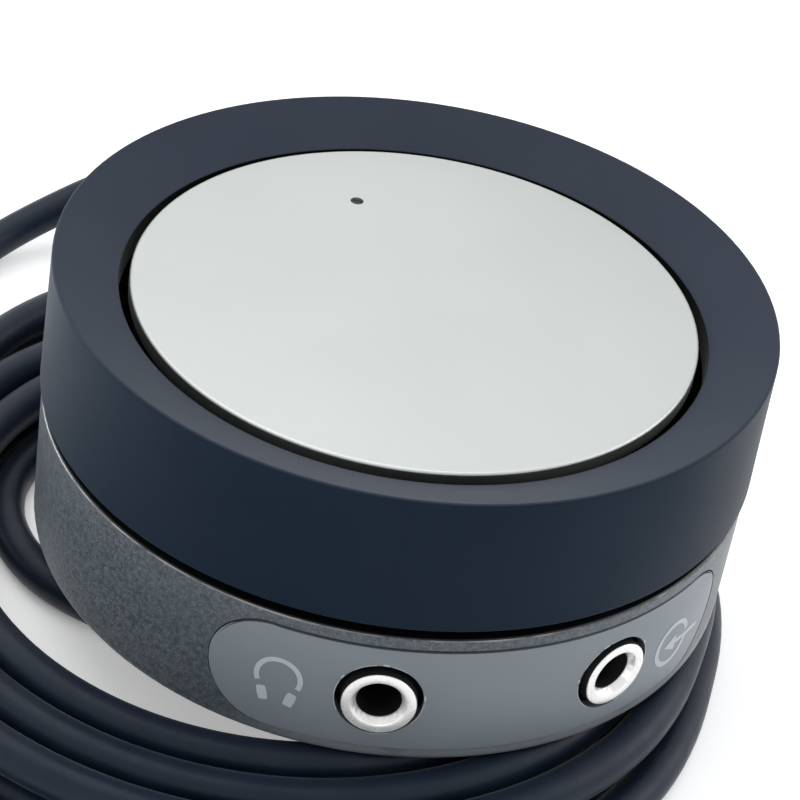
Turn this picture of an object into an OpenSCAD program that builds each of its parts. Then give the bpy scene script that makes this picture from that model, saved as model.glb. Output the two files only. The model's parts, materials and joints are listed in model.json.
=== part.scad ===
// Desktop volume control pod: a turning volume ring over a round base with two headphone-size jacks,
// a touch disc in its middle, and its own cord wound in a coil that the pod stands on.
// The origin is the centre of the pod. +Z is up, and the jack panel faces -Y.

/* [Volume ring] */
// Diameter of the ring at its lower edge
ring_d = 63; // [58:0.5:75]
// How much the ring's radius shrinks towards its top edge
ring_taper = 0.3; // [0:0.1:1.5]
// Height of the ring
ring_h = 12.6; // [11.5:0.1:18]
// Width of the sloping lip on top of the ring
lip_w = 5.75; // [4.8:0.05:6.2]
// How far the lip falls towards its inner edge
lip_drop = 2.6; // [1.2:0.1:3]
// Thickness of the lip at its inner edge
lip_t = 2.4; // [1.5:0.1:3]
// Thickness of the ring's skirt
ring_wall = 3.1; // [2.4:0.1:3.6]
// Shadow gap between ring and base
ring_gap = 1; // [0.5:0.1:2]
// Edge rounding of the ring
ring_round = 0.2; // [0.1:0.05:0.6]

/* [Base shell] */
// Height of the base
base_h = 13; // [12.2:0.1:18]
// How far the base sits inside the ring's lower edge
base_inset = 0.2; // [0:0.1:1]
// Thickness of the side wall
base_wall = 2.2; // [1.8:0.1:2.8]
// Thickness of the floor
base_floor = 2; // [1.5:0.1:2.6]
// Rounding of the lower edge
base_fillet = 0.6; // [0.4:0.1:1.4]
// Thickness of the deck that carries the spigot
deck_t = 1.6; // [1:0.1:2]
// Thickness of the spigot that the ring turns on
spigot_wall = 1.8; // [1.2:0.1:2.2]

/* [Touch disc] */
// Gap round the disc
disc_gap = 0.85; // [0.4:0.05:1.2]
// Thickness of the disc
disc_t = 1.4; // [0.8:0.1:2]
// How far the disc stands above the lip's inner edge
disc_proud = 0.4; // [0:0.05:0.6]
// Diameter of the light's pinhole
led_d = 1.2; // [0.8:0.1:2]
// Distance of the pinhole from the middle
led_offset = 15.8; // [13:0.1:17]
// Turn of the pinhole away from the rear
led_turn = 2; // [-10:1:10]

/* [Jack panel] */
// Half the angle that the panel spans
panel_angle = 45; // [40:1:60]
// Height of the panel
panel_h = 10.1; // [8:0.1:10.6]
// Height of the panel's lower edge above the base's underside
panel_z = 1.5; // [1.4:0.1:2]
// Thickness of the panel
panel_t = 1; // [0.6:0.1:1.2]
// Line left open round the panel
panel_gap = 0.3; // [0.05:0.05:0.4]

/* [Jacks] */
// Angle of each jack from the panel's middle
jack_angle = 19.05; // [17:0.05:24]
// Height of the jacks' axes above the base's underside
jack_z = 6.3; // [5.7:0.1:6.6]
// Hole in the panel round each bushing
jack_hole_d = 7.2; // [6.6:0.1:7.4]
// Outer diameter of the bushing
bushing_d = 6.5; // [5.4:0.1:6.8]
// Bore of the bushing
bushing_bore = 3.6; // [3.5:0.05:3.8]
// How far the bushing stands out of the panel
bushing_proud = 0.8; // [0:0.05:1]
// Depth of the countersink in the bushing's mouth
bushing_sink = 0.6; // [0.2:0.05:0.8]
// Diameter of the bushing's tail inside the jack
bushing_tail_d = 5; // [4.6:0.1:5.2]
// Length of the bushing's tail inside the jack
bushing_tail = 4; // [2:0.1:5]
// Length of the jack body
jack_len = 13; // [11:0.1:13.5]
// Width of the jack body
jack_w = 7; // [6:0.1:7.4]
// Height of the jack body
jack_h = 6; // [5.8:0.1:6.4]
// Width of a contact spring
contact_w = 1.2; // [0.8:0.1:1.6]
// Thickness of a contact spring
contact_t = 0.3; // [0.2:0.05:0.5]
// Length of a contact spring
contact_len = 6.5; // [4:0.1:7]

/* [Drive] */
// Module of the gear teeth
gear_module = 1; // [0.95:0.01:1.02]
// Thickness of the gear ring behind its pitch circle
gear_wall = 4.4; // [4:0.1:5]
// Teeth on the pinion
pinion_teeth = 16; // [14:1:18]
// Height of the gear ring
gear_h = 3.15; // [2.6:0.05:3.4]
// Play between the teeth
backlash = 0.24; // [0.1:0.02:0.4]
// Diameter of the potentiometer's shaft
pot_shaft_d = 6; // [4:0.5:7]
// Width of the potentiometer's square body
pot_w = 11.4; // [9:0.1:12]
// Depth of the flat on the shaft
shaft_flat = 1; // [0.5:0.1:1.5]
// Thickness of the slip washer under the gear ring
washer_t = 0.4; // [0.2:0.05:0.8]

/* [Inside] */
// Thickness of the main board
board_t = 1.2; // [0.8:0.1:1.6]
// Height of the disc carrier
carrier_h = 2.1; // [1.8:0.1:2.6]
// Thickness of the touch board
touch_t = 0.6; // [0.4:0.1:0.8]
// Diameter of the carrier's legs
leg_d = 5.2; // [4.8:0.1:5.6]
// Diameter of the base's posts
post_d = 4.4; // [4:0.1:5]
// Diameter of the long screws
screw_d = 1.6; // [1.4:0.1:2]
// Diameter of the screw heads
screw_head_d = 3.2; // [2.8:0.1:3.4]
// Thickness of the screw heads
screw_head_t = 1.1; // [0.8:0.1:1.4]
// Length of thread in a base post
screw_bite = 5; // [3:0.1:6]
// Diameter of the ballast plate
ballast_d = 27; // [20:0.5:29]
// Thickness of the ballast plate
ballast_t = 5; // [2:0.1:6]
// Diameter of the foot pad
foot_d = 31; // [24:0.5:31.5]
// Thickness of the foot pad
foot_t = 1.2; // [0.8:0.1:1.6]
// How far the foot pad stands out of the base
foot_proud = 0.6; // [0.3:0.05:0.8]
// Diameter of the light pipe
pipe_d = 2.4; // [1.8:0.1:3]
// Diameter of the touch contact's barrel
touch_pin_d = 2; // [1.4:0.1:2.6]

/* [Cord] */
// Diameter of the cord
cord_d = 3.6; // [3.4:0.05:3.7]
// Clear gap between neighbouring loops of the coil
coil_gap = 0.55; // [0.5:0.05:0.8]
// Radius at which the spiral turns back
coil_r = 25.6; // [25:0.1:30]
// How far the innermost loop swings in across the coil's hole
loose_in = 10; // [0:0.1:12]
// Loops in the lower layer
loops_low = 4.175; // [2:0.025:4.5]
// Loops in the upper layer
loops_up = 3.375; // [2:0.025:4.5]
// Height of the cord's exit above the base's underside
exit_z = 6.4; // [5.6:0.1:6.8]
// Length of the strain relief outside the base
relief_len = 13; // [8:0.5:16]
// Diameter of the strain relief's neck
relief_d = 6.6; // [5:0.1:7]
// Width of the strain relief's flanges beyond the neck
relief_flange = 0.9; // [0.5:0.1:1.2]
// Diameter of one conductor
wire_d = 1; // [0.6:0.1:1.2]

/* [Plug] */
// Diameter of the plug body
plug_d = 11.2; // [10:0.1:13]
// Length of the plug body
plug_len = 18; // [12:0.5:24]
// Length of the plug's boot
boot_len = 10; // [6:0.5:14]
// Diameter of the plug shell
shell_d = 9; // [8:0.1:9.5]
// Length of the plug shell
shell_len = 8.5; // [6:0.1:10]
// Wall of the plug shell
shell_wall = 0.4; // [0.3:0.05:0.6]
// Contact pins round the plug
pin_count = 7; // [4:1:8]
// Diameter of a contact pin
pin_d = 0.8; // [0.5:0.05:1]

/* [Hidden] */
$fn = 72;

// Clearances: glued or pressed pieces, the ring's running fit, and cuts that pass right through
fit_gap = 0.05;
run_gap = 0.08;
cut = 1;

// Small edge roundings
edge_round = 0.3;
disc_round = 0.25;
bushing_round = 0.2;

// Radii of the ring and of what it turns on
ring_r = ring_d/2;
ring_top_r = ring_r - ring_taper;
lip_r = ring_top_r - lip_w;
ring_bore_r = ring_r - ring_wall;
base_r = ring_r - base_inset;
base_in_r = base_r - base_wall;
spigot_r = ring_bore_r - run_gap;
spigot_in_r = spigot_r - spigot_wall;
disc_r = lip_r - disc_gap;
carrier_rim = 0.4;
carrier_r = disc_r - carrier_rim;
recess_rim = 4;
recess_r = carrier_r - recess_rim;
lip_slope = 0.7;

// Heights above the base's underside, from the top of the ring down
ring_z = base_h + ring_gap;
ring_top = ring_z + ring_h;
lip_z = ring_top - lip_drop;
disc_top = lip_z + disc_proud;
disc_z = disc_top - disc_t;
carrier_z = disc_z - carrier_h;
carrier_lift = 0.4;
gear_top = carrier_z - carrier_lift;
gear_z = gear_top - gear_h;
spigot_top = gear_z - fit_gap - washer_t;
touch_z = disc_z - touch_t - fit_gap;
board_z = jack_z + jack_h/2;
board_top = board_z + board_t;

// The pod's own height sets the origin at its centre
pod_h = foot_proud + ring_top;
base_z = foot_proud - pod_h/2;

// Gears: the pinion runs inside the gear ring, whose whole teeth fill the volume ring's bore
pressure = 20;
addendum = 0.9*gear_module;
dedendum = 1.25*gear_module;
ring_teeth = round(2*(ring_bore_r - gear_wall)/gear_module);
gear_pitch_r = gear_module*ring_teeth/2;
pinion_pitch_r = gear_module*pinion_teeth/2;
gear_tip_r = gear_pitch_r - addendum;
pot_angle = 135;
pot_reach = gear_pitch_r - pinion_pitch_r;
pot_at = pot_reach*[cos(pot_angle), sin(pot_angle)];
pinion_lift = 0.15;
pinion_drop = 0.2;
pot_room = 0.75;
pot_top = gear_z - pot_room;
pot_seat = 2;

// Three screws clamp the carrier's legs and the main board on the base's posts
leg_angles = [75, 195, 315];
leg_room = 0.8;
leg_circle = gear_tip_r - leg_room - leg_d/2;
screw_sink = 0.6;
screw_head_z = touch_z - screw_sink - screw_head_t;
screw_room = 0.1;
board_edge = 0.7;
board_r = spigot_in_r - board_edge;

// Pieces on the main board
chip_at = [-4, -9];
chip_size = [6, 5, 1.5];
capacitor_at = [[9, -6], [9, 1]];
capacitor_d = 5;
capacitor_h = 5.4;
touch_pin_at = [6, -14];
led_size = [2, 1.2, 0.8];
led_room = 0.3;
pipe_drop = 0.25;

// Jacks stand radially behind the panel
jack_room = 0.4;
jack_front = base_in_r - jack_room;
cavity_room = 0.2;
jack_cavity_d = bushing_bore + 2*cavity_room;
jack_back = 0.8;
jack_cavity = jack_len - jack_back;
contact_gap = 0.8;
contact_from = bushing_tail + contact_gap;
contact_slot = 0.2;

// Cord exit at the rear
relief_tip = base_r + relief_len;
relief_lip = 1;
relief_slack = 0.4;
relief_in = base_in_r - relief_lip - relief_slack;
relief_tip_wall = 0.5;
relief_groove = 0.45;
relief_ribs = 4;
header_w = 7;
header_x = -1.5;
header_l = 4;
header_h = 4;
wire_run = 3.5;
wire_count = 4;
wire_pitch = 1.5;
header_y = relief_in - wire_run - header_l;

// The coil under the pod: its cord lies with a tenth of its diameter cut flat
cord_r = cord_d/2;
cord_flat = 0.1*cord_d;
cord_rest = cord_r - cord_flat;
coil_pitch = cord_d + coil_gap;
coil_at = [-9, 2];
coil_mid = -140;
loose_span = 0.47;
coil_steps = 24;
coil_sides = 6;
cord_sides = 8;
coil_top = cord_rest + coil_pitch + cord_r;
seat_gap = 0.05;
table_z = base_z - seat_gap - coil_top;

// Plug, lying on the table behind the pod
plug_at = [29, 37.6];
plug_heading = 130;
plug_round = 1.2;
plug_front_round = 0.4;
grip_back = 4;
grip_front = 3;
grip_slope = 1.4;
grip_depth = 0.6;
grip_round = 0.8;
boot_tip_wall = 0.4;
boot_root_wall = 1.8;
boot_tip_r = cord_r + boot_tip_wall;
boot_root_r = cord_r + boot_root_wall;
boot_groove = 0.5;
boot_ribs = 4;
insert_t = 3;
pin_len = 4.6;
pin_circle_d = 5.2;

// Lead and tail routes, as x, y and height above the table, apart from their ends
lead_route = [
  [-0.7, 53, 13.4], [-2.7, 56.4, 12.4], [-5.7, 59, 10.9], [-9.5, 60.4, 9], [-13.5, 60.4, 7], [-17.6, 59.4, 5.2],
  [-23.2, 56.8, 3.2], [-29, 52.2, 1.9], [-34, 46.2, cord_rest], [-38.4, 39.6, cord_rest], [-42.4, 33, cord_rest]
];
tail_route = [[32.3, 11.2, 5.2], [33.3, 16.2, 4.6], [33.8, 21.4, 4.2], [33.7, 26, 4.3], [33, 30.4, 4.9]];

// Outline and path helpers
function unit(v) = v/norm(v);
function bearing(v) = atan2(v[1], v[0]);
function short_turn(a) = a > 180 ? a - 360 : a < -180 ? a + 360 : a;
function fillet(a, p, b, r, n) =
  let (u = unit(a - p), v = unit(b - p), half = acos(u*v)/2)
  let (c = p + unit(u + v)*r/sin(half), from = bearing(p + u*r/tan(half) - c))
  let (turn = short_turn(bearing(p + v*r/tan(half) - c) - from))
  [for (i = [0:n]) c + r*[cos(from + turn*i/n), sin(from + turn*i/n)]];
function flat2(p) = [p[0], p[1]];
function rounded(pts, n = 4) = let (m = len(pts))
  [for (i = [0:m - 1]) each pts[i][2] > 0
    ? fillet(flat2(pts[(i + m - 1) % m]), flat2(pts[i]), flat2(pts[(i + 1) % m]), pts[i][2], n)
    : [flat2(pts[i])]];

// Grooves between the ribs of a tapering sleeve, whose radius at each length is a function
groove_share = 0.5;
groove_slope = 0.1;
function grooves(from, step, count, depth, radius) = [for (i = [0:count - 1])
  let (y = from + i*step, low = y + groove_slope*step, high = y + (groove_share - groove_slope)*step)
  let (end = y + groove_share*step, floor_r = radius(y) - depth)
  each [[radius(y), y], [floor_r, low], [floor_r, high], [radius(end), end]]];

// Gear outline: involute flanks between the root and tip radii, thinner by the play at the pitch circle
function roll(r, base) = r > base ? sqrt(pow(r/base, 2) - 1) : 0;
function involute(r, base) = let (t = roll(r, base)) t*180/PI - atan(t);
function half_tooth(r, pitch, base, play) =
  (PI*gear_module/2 - play)/(2*pitch)*180/PI + involute(pitch, base) - involute(r, base);
function gear_points(teeth, root, tip, play) =
  let (pitch = gear_module*teeth/2, base = pitch*cos(pressure))
  let (radii = [root, (root + pitch)/2, pitch, tip])
  [for (k = [0:teeth - 1], side = [-1, 1], j = [0:3])
    let (r = radii[side < 0 ? j : 3 - j], a = 360*k/teeth + side*half_tooth(r, pitch, base, play))
    r*[cos(a), sin(a)]];

// Coil: s counts turns from the middle of the climb between the two layers
function spiral_radius(s) = coil_r + coil_pitch*(abs(s) < 0.25 ? 2*s*s + 0.125 : abs(s));
function swing(s) = abs(s) < loose_span/2 ? (1 + cos(360*s/loose_span))/2 : 0;
function coil_radius(s) = spiral_radius(s) - loose_in*swing(s);
function climb(s) = let (f = min(1, max(0, 2*s + 0.5))) f*f*(3 - 2*f);
function coil_point(s) = let (a = coil_mid + 360*s, r = coil_radius(s))
  [coil_at[0] + r*cos(a), coil_at[1] + r*sin(a), table_z + cord_rest + coil_pitch*climb(s)];
coil_count = round(coil_steps*(loops_low + loops_up));
coil_turns = [for (i = [0:coil_count]) coil_point((loops_low + loops_up)*i/coil_count - loops_low)];
coil_in_dir = unit(coil_turns[1] - coil_turns[0]);
coil_out_dir = unit(coil_turns[coil_count] - coil_turns[coil_count - 1]);
coil_start = coil_turns[0] - coil_in_dir*cord_d;
coil_end = coil_turns[coil_count] + coil_out_dir*cord_d;
coil_path = concat([coil_start], coil_turns, [coil_end]);

// Least gap of the coil to itself, between points more than half a loop apart
half_loop = coil_steps/2;
coil_least_gap = min([for (i = [0:coil_count - half_loop], j = [i + half_loop:1:coil_count])
  norm(coil_turns[i] - coil_turns[j])]) - cord_d;

function on_table(route) = [for (p = route) [p[0], p[1], table_z + p[2]]];
function path_length(path) = let (steps = [for (i = [1:len(path) - 1]) norm(path[i] - path[i - 1])])
  steps*[for (s = steps) 1];
plug_dir = [cos(plug_heading), sin(plug_heading), 0];
plug_entry = [plug_at[0], plug_at[1], table_z + plug_d/2];
exit_point = [0, relief_tip, base_z + exit_z];
lead_path = concat([exit_point, exit_point + [0, cord_d, 0]], on_table(lead_route),
  [coil_start - coil_in_dir*cord_d, coil_start]);
tail_path = concat([coil_end, coil_end + coil_out_dir*cord_d], on_table(tail_route),
  [plug_entry - plug_dir*cord_d, plug_entry]);
echo(coil_least_gap = coil_least_gap);
echo(cord_length = path_length(lead_path) + path_length(coil_path) + path_length(tail_path));

// Tube along a path, never lower than the table
function ahead(path, i) = i < len(path) - 1 ? unit(path[i + 1] - path[i]) : [0, 0, 0];
function behind(path, i) = i > 0 ? unit(path[i] - path[i - 1]) : [0, 0, 0];
module tube(path, sides) {
  n = len(path);
  dirs = [for (i = [0:n - 1]) unit(ahead(path, i) + behind(path, i))];
  turn = sides == coil_sides ? 0 : 180/sides;
  points = [for (i = [0:n - 1], k = [0:sides - 1])
    let (across = unit(cross(dirs[i], [0, 0, 1])), over = cross(across, dirs[i]), a = 360*k/sides + turn)
    let (p = path[i] + cord_r*(across*cos(a) + over*sin(a)))
    [p[0], p[1], max(p[2], table_z)]];
  walls = [for (i = [0:n - 2], k = [0:sides - 1])
    let (a = i*sides + k, b = i*sides + (k + 1) % sides)
    each [[a, b, b + sides], [a, b + sides, a + sides]]];
  first = [for (k = [1:sides - 2]) [0, k + 1, k]];
  last = [for (k = [1:sides - 2]) (n - 1)*sides*[1, 1, 1] + [0, k, k + 1]];
  polyhedron(points, concat(walls, first, last), convexity = 10);
}

// Places: on the base's underside, along a jack's axis, at each leg, on the pinion's axis, at the light,
// along the plug
module on_base() { translate([0, 0, base_z]) children(); }
module at_jack(side) {
  on_base() translate([0, 0, jack_z]) rotate([0, 0, -90 + side*jack_angle]) rotate([0, 90, 0]) children();
}
module at_legs() { for (a = leg_angles) rotate([0, 0, a]) translate([leg_circle, 0, 0]) children(); }
module at_pot() { on_base() translate([pot_at[0], pot_at[1], 0]) rotate([0, 0, pot_angle]) children(); }
module at_led() { rotate([0, 0, led_turn]) translate([0, led_offset, 0]) children(); }
module at_plug(along) {
  translate(plug_entry) rotate([0, 0, plug_heading]) rotate([0, 90, 0]) translate([0, 0, along]) children();
}

// Curved lozenge between two radii, with round ends that stand a hair beyond the band's edges
end_bulge = 0.03;
module lozenge(r_in, r_out, grow) {
  end_angle = panel_angle - panel_h/2/base_r*180/PI;
  band_h = panel_h + 2*grow;
  translate([0, 0, panel_z + panel_h/2]) intersection() {
    difference() {
      cylinder(r = r_out, h = band_h + 2*cut, center = true);
      cylinder(r = r_in, h = band_h + 3*cut, center = true);
    }
    union() {
      rotate([0, 0, -90 - end_angle]) rotate_extrude(angle = 2*end_angle)
        translate([r_in - cut, -band_h/2]) square([r_out - r_in + 2*cut, band_h]);
      for (side = [-1, 1]) rotate([0, 0, -90 + side*end_angle]) rotate([0, 90, 0])
        cylinder(d = band_h + 2*end_bulge, h = r_out + cut);
    }
  }
}

module jack_holes() {
  for (side = [-1, 1]) translate([0, 0, jack_z]) rotate([0, 0, -90 + side*jack_angle]) rotate([0, 90, 0])
    cylinder(d = jack_hole_d, h = ring_r + cut);
}

// Base
module base_shell() {
  color("#4b4d50") on_base() {
    difference() {
      rotate_extrude() polygon(rounded([
        [0, 0, 0], [base_r, 0, base_fillet], [base_r, base_h, edge_round], [spigot_r, base_h, 0],
        [spigot_r, spigot_top, edge_round], [spigot_in_r, spigot_top, 0], [spigot_in_r, base_h - deck_t, 0],
        [base_in_r, base_h - deck_t, 0], [base_in_r, base_floor, 0], [0, base_floor, 0]
      ]));
      lozenge(base_r - panel_t, base_r + cut, panel_gap);
      jack_holes();
      translate([0, 0, -cut]) cylinder(d = foot_d + 2*fit_gap, h = cut + foot_t - foot_proud);
      translate([0, 0, exit_z]) rotate([-90, 0, 0]) cylinder(d = relief_d + 2*fit_gap, h = base_r + cut);
    }
    at_legs() difference() {
      translate([0, 0, base_floor/2]) cylinder(d = post_d, h = board_z - base_floor/2);
      translate([0, 0, board_z - screw_bite]) cylinder(d = screw_d + 2*fit_gap, h = screw_bite + cut);
    }
  }
}

module jack_panel() {
  color("#6f7275") on_base() difference() {
    lozenge(base_r - panel_t + fit_gap, base_r, 0);
    jack_holes();
  }
}

module foot_pad() {
  color("#1b1c1e") on_base() translate([0, 0, -foot_proud]) rotate_extrude() polygon(rounded([
    [0, 0, 0], [foot_d/2, 0, edge_round], [foot_d/2, foot_t, 0], [0, foot_t, 0]]));
}

module ballast_plate() {
  color("#8c8f92") on_base() translate([0, 0, base_floor]) cylinder(d = ballast_d, h = ballast_t);
}

// Jacks
module jack_body(side) {
  color("#17181a") at_jack(side) translate([0, 0, jack_front - jack_len]) difference() {
    translate([-jack_h/2, -jack_w/2, 0]) cube([jack_h, jack_w, jack_len]);
    translate([0, 0, jack_len - jack_cavity]) cylinder(d = jack_cavity_d, h = jack_cavity + cut);
    translate([0, 0, jack_len - bushing_tail - fit_gap])
      cylinder(d = bushing_tail_d + 2*fit_gap, h = bushing_tail + fit_gap + cut);
    for (up = [-1, 1]) contact_place(up) translate([0, 0, -contact_slot]) {
      translate([-cut, -contact_w/2 - contact_slot, 0])
        cube([cut + contact_t + contact_slot, contact_w + 2*contact_slot, contact_len + 2*contact_slot]);
      if (up > 0) translate([0, -contact_w/2 - contact_slot, 0])
        cube([jack_h, contact_w + 2*contact_slot, contact_t + 2*contact_slot]);
    }
  }
}

// A contact lies along the cavity: up is the side next to the board, which the jack's -X faces
module contact_place(up) {
  translate([0, 0, jack_len - contact_from - contact_len])
    rotate([0, 0, up > 0 ? 180 : 0]) translate([jack_cavity_d/2, 0, 0]) children();
}

module jack_contacts(side) {
  color("#c9b26a") at_jack(side) translate([0, 0, jack_front - jack_len])
    for (up = [-1, 1]) contact_place(up) translate([0, -contact_w/2, 0]) {
      cube([contact_t, contact_w, contact_len]);
      if (up > 0) cube([jack_h/2 - jack_cavity_d/2, contact_w, contact_t]);
    }
}

module bushing(side) {
  bore_r = bushing_bore/2;
  face = base_r + bushing_proud - jack_front;
  color("#d9dadb") at_jack(side) translate([0, 0, jack_front]) rotate_extrude() polygon(rounded([
    [bore_r, -bushing_tail, 0], [bushing_tail_d/2, -bushing_tail, 0], [bushing_tail_d/2, 0, 0],
    [bushing_d/2, 0, 0], [bushing_d/2, face, bushing_round], [bore_r + bushing_sink, face, 0],
    [bore_r, face - bushing_sink, 0]]));
}

module headphone_jack() { jack_body(-1); }
module aux_jack() { jack_body(1); }
module headphone_bushing() { bushing(-1); }
module aux_bushing() { bushing(1); }
module headphone_contacts() { jack_contacts(-1); }
module aux_contacts() { jack_contacts(1); }

// Main board and what is soldered to it
module main_board() {
  color("#1f5b3a") on_base() translate([0, 0, board_z]) difference() {
    cylinder(r = board_r, h = board_t);
    at_legs() translate([0, 0, -cut]) cylinder(d = screw_d + 2*screw_room, h = board_t + 2*cut);
  }
}

module amplifier_chip() {
  color("#202124") on_base() translate([chip_at[0], chip_at[1], board_top])
    translate([-chip_size[0]/2, -chip_size[1]/2, 0]) cube(chip_size);
}

module capacitors() {
  color("#3b4a63") on_base() for (at = capacitor_at) translate([at[0], at[1], board_top])
    cylinder(d = capacitor_d, h = capacitor_h);
}

module wire_header() {
  color("#e8e4d8") on_base() translate([header_x - header_w/2, header_y, board_z - header_h])
    cube([header_w, header_l, header_h]);
}

module conductors() {
  first_x = header_x - (wire_count - 1)*wire_pitch/2;
  color("#a33a32") on_base() for (i = [0:wire_count - 1])
    translate([first_x + i*wire_pitch, header_y + header_l, exit_z]) rotate([-90, 0, 0])
      cylinder(d = wire_d, h = wire_run);
}

// Potentiometer and drive
module pot_body() {
  color("#3d6c8f") at_pot() difference() {
    translate([-pot_w/2, -pot_w/2, board_top]) cube([pot_w, pot_w, pot_top - board_top]);
    translate([0, 0, board_top + pot_seat]) cylinder(d = pot_shaft_d + 2*run_gap, h = pot_top - board_top);
  }
}

module shaft_section(grow) {
  difference() {
    circle(d = pot_shaft_d + 2*grow);
    translate([pot_shaft_d/2 - shaft_flat + grow, -pot_shaft_d]) square(2*pot_shaft_d);
  }
}

module pot_shaft() {
  shaft_z = board_top + pot_seat + run_gap;
  pinion_z = gear_z + pinion_lift;
  color("#c3c6c9") at_pot() {
    translate([0, 0, shaft_z]) cylinder(d = pot_shaft_d, h = pinion_z - shaft_z);
    translate([0, 0, pinion_z]) linear_extrude(gear_top - pinion_drop - pinion_z) shaft_section(0);
  }
}

module drive_pinion() {
  pinion_z = gear_z + pinion_lift;
  color("#e6e3da") at_pot() translate([0, 0, pinion_z]) linear_extrude(gear_top - pinion_drop - pinion_z)
    difference() {
      polygon(gear_points(pinion_teeth, pinion_pitch_r - dedendum, pinion_pitch_r + addendum, backlash/2));
      shaft_section(fit_gap);
    }
}

module slip_washer() {
  color("#1b1c1e") on_base() translate([0, 0, spigot_top]) difference() {
    cylinder(r = spigot_r - fit_gap, h = washer_t);
    translate([0, 0, -cut]) cylinder(r = spigot_in_r + fit_gap, h = washer_t + 2*cut);
  }
}

module gear_ring() {
  color("#e6e3da") on_base() translate([0, 0, gear_z]) linear_extrude(gear_h) difference() {
    circle(r = ring_bore_r - fit_gap);
    rotate(pot_angle)
      polygon(gear_points(ring_teeth, gear_tip_r, gear_pitch_r + dedendum, -backlash/2));
  }
}

module volume_ring() {
  shoulder = gear_top + fit_gap;
  color("#23252b") on_base() rotate_extrude() polygon(rounded([
    [ring_bore_r, ring_z, edge_round], [ring_r, ring_z, ring_round], [ring_top_r, ring_top, ring_round],
    [lip_r, lip_z, ring_round], [lip_r, lip_z - lip_t, 0], [lip_r + lip_slope, shoulder, 0],
    [ring_bore_r, shoulder, 0]]));
}

// Disc, what carries it and what senses a touch on it
module disc_carrier() {
  color("#2b2d31") on_base() difference() {
    union() {
      translate([0, 0, carrier_z]) cylinder(r = carrier_r, h = carrier_h);
      at_legs() translate([0, 0, board_top]) cylinder(d = leg_d, h = carrier_z - board_top + fit_gap);
    }
    translate([0, 0, touch_z - fit_gap]) cylinder(r = recess_r, h = carrier_h);
    at_legs() {
      translate([0, 0, board_top - cut]) cylinder(d = screw_d + 2*screw_room, h = ring_top);
      translate([0, 0, screw_head_z]) cylinder(d = screw_head_d + 2*screw_room, h = ring_top);
    }
    at_led() translate([0, 0, carrier_z - cut]) cylinder(d = pipe_d + 2*fit_gap, h = carrier_h + 2*cut);
    translate([touch_pin_at[0], touch_pin_at[1], carrier_z - cut])
      cylinder(d = touch_pin_d + 2*fit_gap, h = carrier_h + 2*cut);
  }
}

module touch_board() {
  color("#1f5b3a") on_base() translate([0, 0, touch_z]) difference() {
    cylinder(r = recess_r - fit_gap, h = touch_t);
    at_led() translate([0, 0, -cut]) cylinder(d = led_d + 2*fit_gap, h = touch_t + 2*cut);
  }
}

module touch_contact() {
  barrel_top = carrier_z - carrier_lift;
  color("#d8b962") on_base() translate([touch_pin_at[0], touch_pin_at[1], 0]) {
    translate([0, 0, board_top]) cylinder(d = touch_pin_d, h = barrel_top - board_top);
    translate([0, 0, barrel_top]) cylinder(d = touch_pin_d/2, h = touch_z - barrel_top);
  }
}

module touch_disc() {
  color("#c9cccd") on_base() difference() {
    rotate_extrude() polygon(rounded([
      [0, disc_z, 0], [disc_r, disc_z, 0], [disc_r, disc_top, disc_round], [0, disc_top, 0]]));
    at_led() translate([0, 0, disc_z - cut]) cylinder(d = led_d, h = disc_t + 2*cut);
  }
}

module status_led() {
  color("#f4f2e4") on_base() at_led() translate([-led_size[0]/2, -led_size[1]/2, board_top]) cube(led_size);
}

module light_pipe() {
  foot = board_top + led_size[2] + led_room;
  shoulder = touch_z - fit_gap;
  color("#dfe7ea") on_base() at_led() {
    translate([0, 0, foot]) cylinder(d = pipe_d, h = shoulder - foot);
    translate([0, 0, shoulder]) cylinder(d = led_d - 2*fit_gap, h = disc_top - pipe_drop - shoulder);
  }
}

module carrier_screws() {
  tip_z = board_z - screw_bite + fit_gap;
  color("#b9bcbf") on_base() at_legs() {
    translate([0, 0, screw_head_z]) cylinder(d = screw_head_d, h = screw_head_t);
    translate([0, 0, tip_z]) cylinder(d = screw_d, h = screw_head_z - tip_z);
  }
}

// Cord and its strain relief
module strain_relief() {
  neck_r = relief_d/2;
  flange_r = neck_r + relief_flange;
  tip_r = cord_r + relief_tip_wall;
  inner_lip = relief_in + relief_lip;
  seat = base_r + fit_gap;
  collar = base_r + relief_lip;
  rib_from = collar + relief_lip;
  rib_step = (relief_tip - relief_lip - rib_from)/relief_ribs;
  taper = function (y) neck_r + (tip_r - neck_r)*(y - base_r)/relief_len;
  color("#16181b") translate([0, 0, base_z + exit_z]) rotate([-90, 0, 0]) rotate_extrude() polygon(concat(
    [[0, relief_in], [flange_r, relief_in], [flange_r, inner_lip], [neck_r, inner_lip],
      [neck_r, seat], [flange_r, seat], [flange_r, collar], [taper(collar), collar]],
    grooves(rib_from, rib_step, relief_ribs, relief_groove, taper),
    [[tip_r, relief_tip], [0, relief_tip]]));
}

module cord_lead() { color("#1a1d22") tube(lead_path, cord_sides); }
module cord_coil() { color("#1a1d22") tube(coil_path, coil_sides); }
module cord_tail() { color("#1a1d22") tube(tail_path, cord_sides); }

// Plug at the cord's far end
module plug_boot() {
  step = boot_len/(boot_ribs + 1);
  taper = function (y) boot_tip_r + (boot_root_r - boot_tip_r)*y/boot_len;
  color("#16181b") at_plug(0) rotate_extrude() polygon(concat(
    [[0, 0], [boot_tip_r, 0]],
    grooves(step/2, step, boot_ribs, boot_groove, taper),
    [[boot_root_r, boot_len], [0, boot_len]]));
}

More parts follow.
